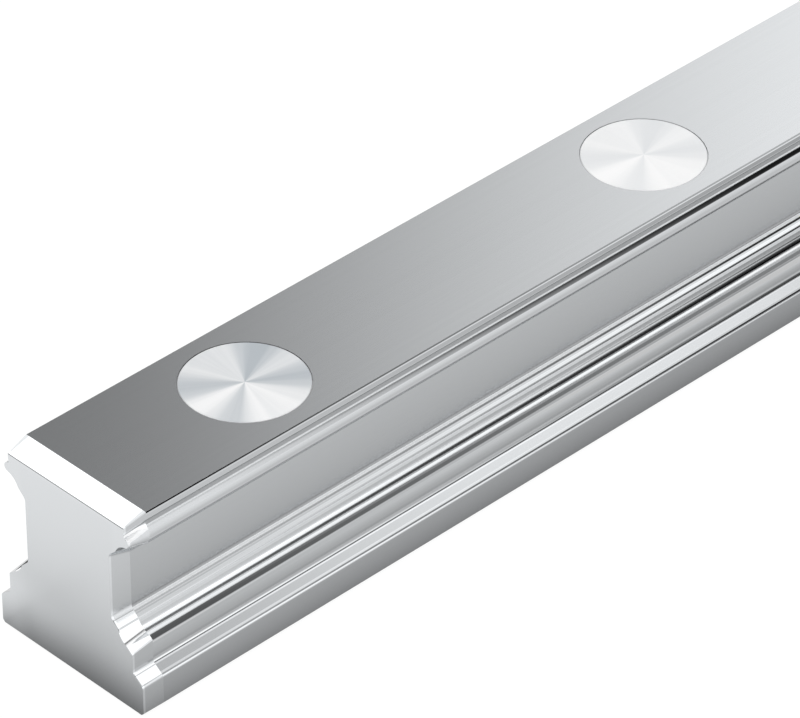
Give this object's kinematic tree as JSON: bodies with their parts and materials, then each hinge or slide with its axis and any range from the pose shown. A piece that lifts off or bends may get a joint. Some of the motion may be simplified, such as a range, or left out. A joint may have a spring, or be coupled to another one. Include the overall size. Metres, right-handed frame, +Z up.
{
  "type": "linear guide rail",
  "caption": "Straight steel ball guide rail with hourglass section, four ground raceways, ground lead-ins and flush plugs over its mounting holes.",
  "frame": {"origin": "centre of the rail's underside", "axes": "+X along the rail, +Y across it, +Z up towards the plugged top"},
  "size_m": [0.47, 0.022, 0.024],
  "materials": {
    "rail": "ground",
    "plug": "turned"
  },
  "bodies": {
    "root": {"rail": "rail", "plug_1": "plug", "plug_2": "plug", "plug_3": "plug", "plug_4": "plug", "plug_5": "plug", "plug_6": "plug", "plug_7": "plug", "plug_8": "plug"}
  },
  "joints": []
}
